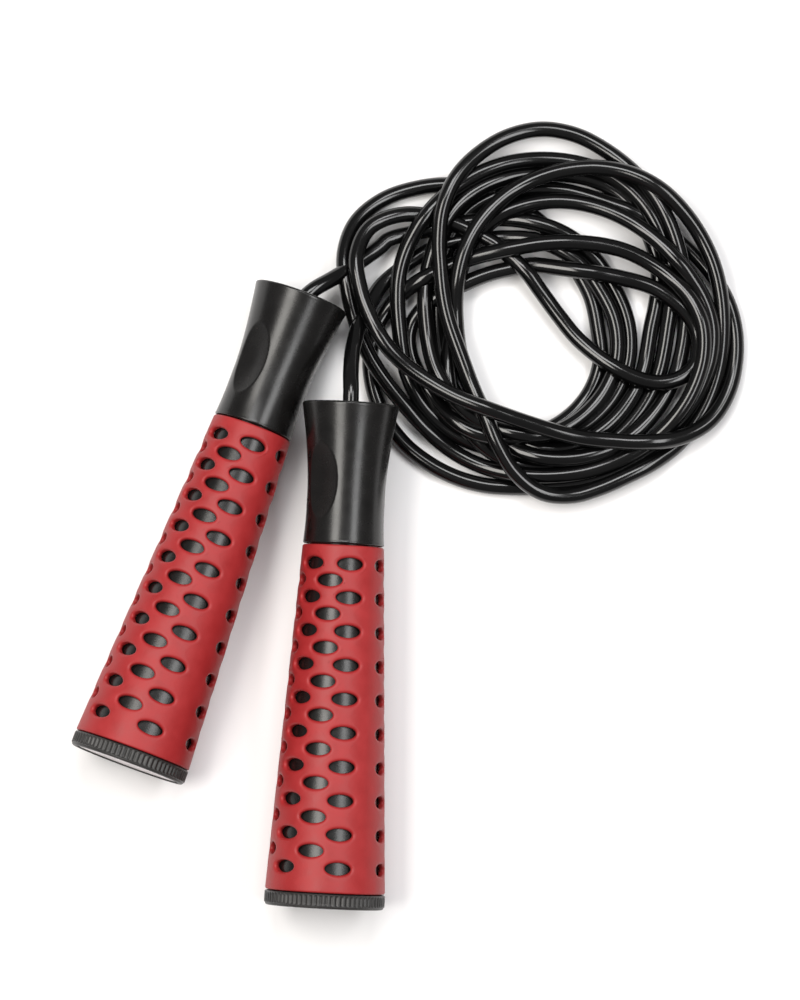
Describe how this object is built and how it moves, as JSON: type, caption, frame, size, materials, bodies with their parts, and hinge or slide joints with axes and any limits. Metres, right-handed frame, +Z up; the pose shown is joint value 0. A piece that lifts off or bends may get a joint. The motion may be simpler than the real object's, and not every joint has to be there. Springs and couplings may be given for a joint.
{
  "type": "jump rope",
  "caption": "Jump rope with tapered, perforated-grip handles on ball-bearing swivels and a smooth cord lying in a loose coil.",
  "frame": {"origin": "on the surface the rope lies on, under the middle of the box round the handles", "axes": "+Z up from the surface; +Y from the end caps towards the flared mouths; +X from the left handle to the right handle"},
  "size_m": [0.2065, 0.2412, 0.0401],
  "materials": {
    "core_plastic": "satin black moulded plastic",
    "grip_rubber": "soft matt red rubber",
    "cap_plastic": "dark charcoal, fine ribbed rim",
    "disc_metal": "satin",
    "seal_rubber": "plain black",
    "bearing_steel": "ground and polished",
    "brass": "plain",
    "bushing_plastic": "plain white",
    "cord_pvc": "glossy black PVC"
  },
  "bodies": {
    "rope": {"rope_coil": "cord_pvc", "left_rope_lead": "cord_pvc", "left_rope_bushing": "bushing_plastic", "left_stop_washer": "bearing_steel", "left_rope_ferrule": "brass", "left_bearing_inner_race": "bearing_steel", "right_rope_lead": "cord_pvc", "right_rope_bushing": "bushing_plastic", "right_stop_washer": "bearing_steel", "right_rope_ferrule": "brass", "right_bearing_inner_race": "bearing_steel"},
    "left_handle": {"left_handle_core": "core_plastic", "left_grip_sleeve": "grip_rubber", "left_bearing_outer_race": "bearing_steel", "left_bearing_retainer": "bushing_plastic"},
    "left_ball_cage": {"left_bearing_cage": "brass", "left_bearing_ball_1": "bearing_steel", "left_bearing_ball_2": "bearing_steel", "left_bearing_ball_3": "bearing_steel", "left_bearing_ball_4": "bearing_steel", "left_bearing_ball_5": "bearing_steel", "left_bearing_ball_6": "bearing_steel", "left_bearing_ball_7": "bearing_steel"},
    "left_seal": {"left_cap_seal": "seal_rubber"},
    "left_cap": {"left_end_cap": "cap_plastic", "left_cap_disc": "disc_metal"},
    "right_handle": {"right_handle_core": "core_plastic", "right_grip_sleeve": "grip_rubber", "right_bearing_outer_race": "bearing_steel", "right_bearing_retainer": "bushing_plastic"},
    "right_ball_cage": {"right_bearing_cage": "brass", "right_bearing_ball_1": "bearing_steel", "right_bearing_ball_2": "bearing_steel", "right_bearing_ball_3": "bearing_steel", "right_bearing_ball_4": "bearing_steel", "right_bearing_ball_5": "bearing_steel", "right_bearing_ball_6": "bearing_steel", "right_bearing_ball_7": "bearing_steel"},
    "right_seal": {"right_cap_seal": "seal_rubber"},
    "right_cap": {"right_end_cap": "cap_plastic", "right_cap_disc": "disc_metal"}
  },
  "joints": [
    {"name": "left_swivel", "type": "hinge", "parent": "rope", "child": "left_handle", "pos_m": [0.01559, 0.08069, 0.0153], "axis": [-0.3444, -0.9385, 0.0237], "continuous": true},
    {"name": "left_cage_turn", "type": "hinge", "parent": "rope", "child": "left_ball_cage", "pos_m": [0.01559, 0.08069, 0.0153], "axis": [-0.3444, -0.9385, 0.0237], "continuous": true},
    {"name": "left_cap_travel", "type": "slide", "parent": "left_handle", "child": "left_seal", "axis": [-0.3444, -0.9385, 0.0237], "range_m": [0, 0.009]},
    {"name": "left_cap_screw", "type": "hinge", "parent": "left_seal", "child": "left_cap", "pos_m": [-0.03183, -0.04855, 0.01857], "axis": [-0.3444, -0.9385, 0.0237], "range_deg": [0, 1080]},
    {"name": "right_swivel", "type": "hinge", "parent": "rope", "child": "right_handle", "pos_m": [0.03482, 0.04543, 0.02464], "axis": [-0.053, -0.9976, -0.0434], "continuous": true},
    {"name": "right_cage_turn", "type": "hinge", "parent": "rope", "child": "right_ball_cage", "pos_m": [0.03482, 0.04543, 0.02464], "axis": [-0.053, -0.9976, -0.0434], "continuous": true},
    {"name": "right_cap_travel", "type": "slide", "parent": "right_handle", "child": "right_seal", "axis": [-0.053, -0.9976, -0.0434], "range_m": [0, 0.009]},
    {"name": "right_cap_screw", "type": "hinge", "parent": "right_seal", "child": "right_cap", "pos_m": [0.02753, -0.09195, 0.01866], "axis": [-0.053, -0.9976, -0.0434], "range_deg": [0, 1080]}
  ],
  "couplings": [
    {"joint": "left_cage_turn", "follows": "left_swivel", "ratio": 0.5958},
    {"joint": "left_cap_travel", "follows": "left_cap_screw", "m_per_rad": 0.00047746},
    {"joint": "right_cage_turn", "follows": "right_swivel", "ratio": 0.5958},
    {"joint": "right_cap_travel", "follows": "right_cap_screw", "m_per_rad": 0.00047746}
  ]
}
